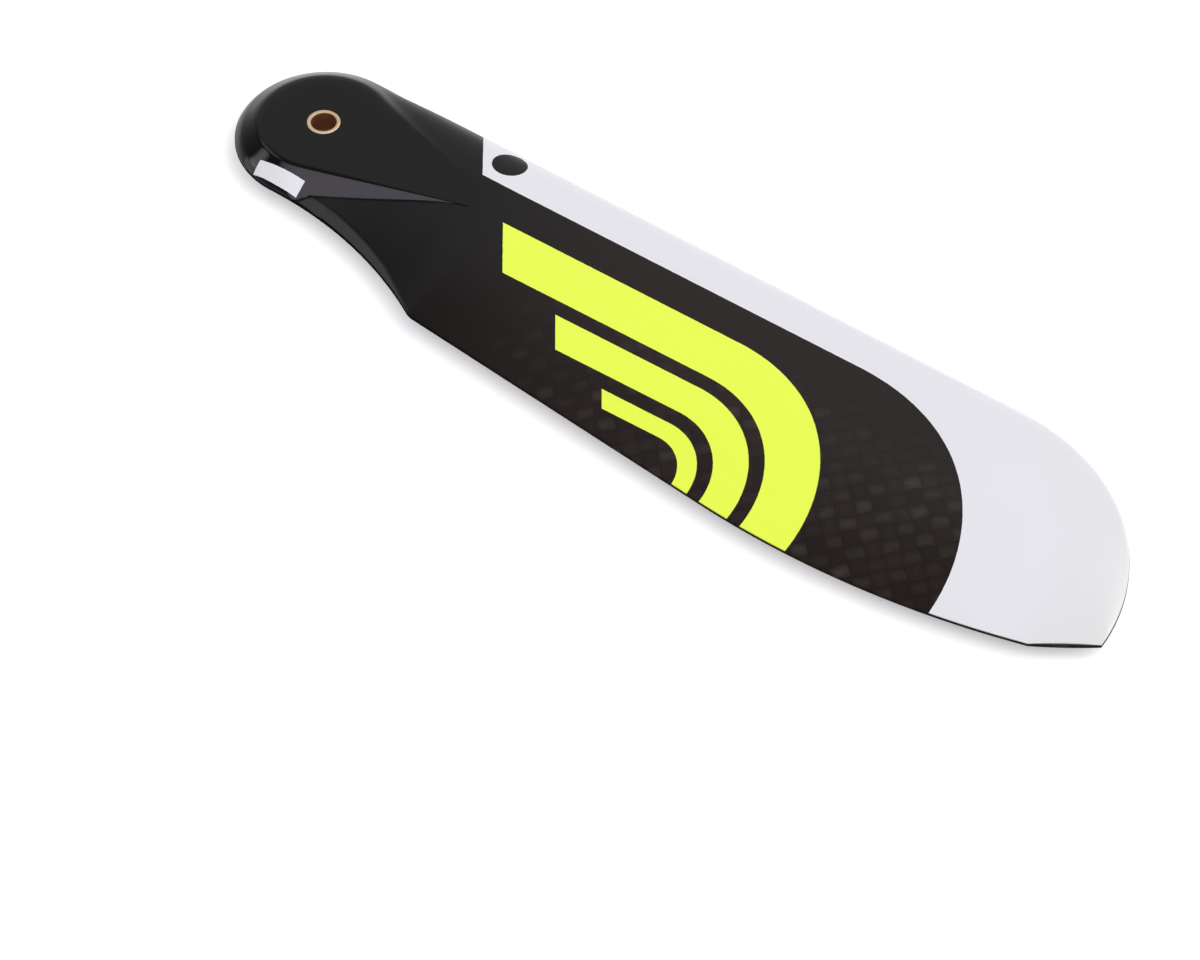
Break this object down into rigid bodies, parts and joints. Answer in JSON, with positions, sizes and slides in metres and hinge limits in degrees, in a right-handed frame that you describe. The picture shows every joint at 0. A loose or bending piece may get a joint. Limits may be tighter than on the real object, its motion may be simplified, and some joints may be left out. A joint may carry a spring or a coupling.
{
  "type": "helicopter rotor blade",
  "caption": "Tail rotor blade of a model helicopter: flat tapered aerofoil panel with a swept round tip, thick bevelled root plateau and a brass bolt bushing.",
  "frame": {"origin": "on the bolt axis, at the middle of the root's thickness", "axes": "+X along the blade to the tip, +Y to the leading edge, +Z along the bolt axis to the painted face"},
  "size_m": [0.1274, 0.0327, 0.005],
  "materials": {
    "carbon": "clear coated carbon weave with a white painted leading edge and tip and a bright yellow design",
    "brass": "turned, bright rim"
  },
  "bodies": {
    "root": {"blade": "carbon", "root_bushing": "brass"}
  },
  "joints": []
}
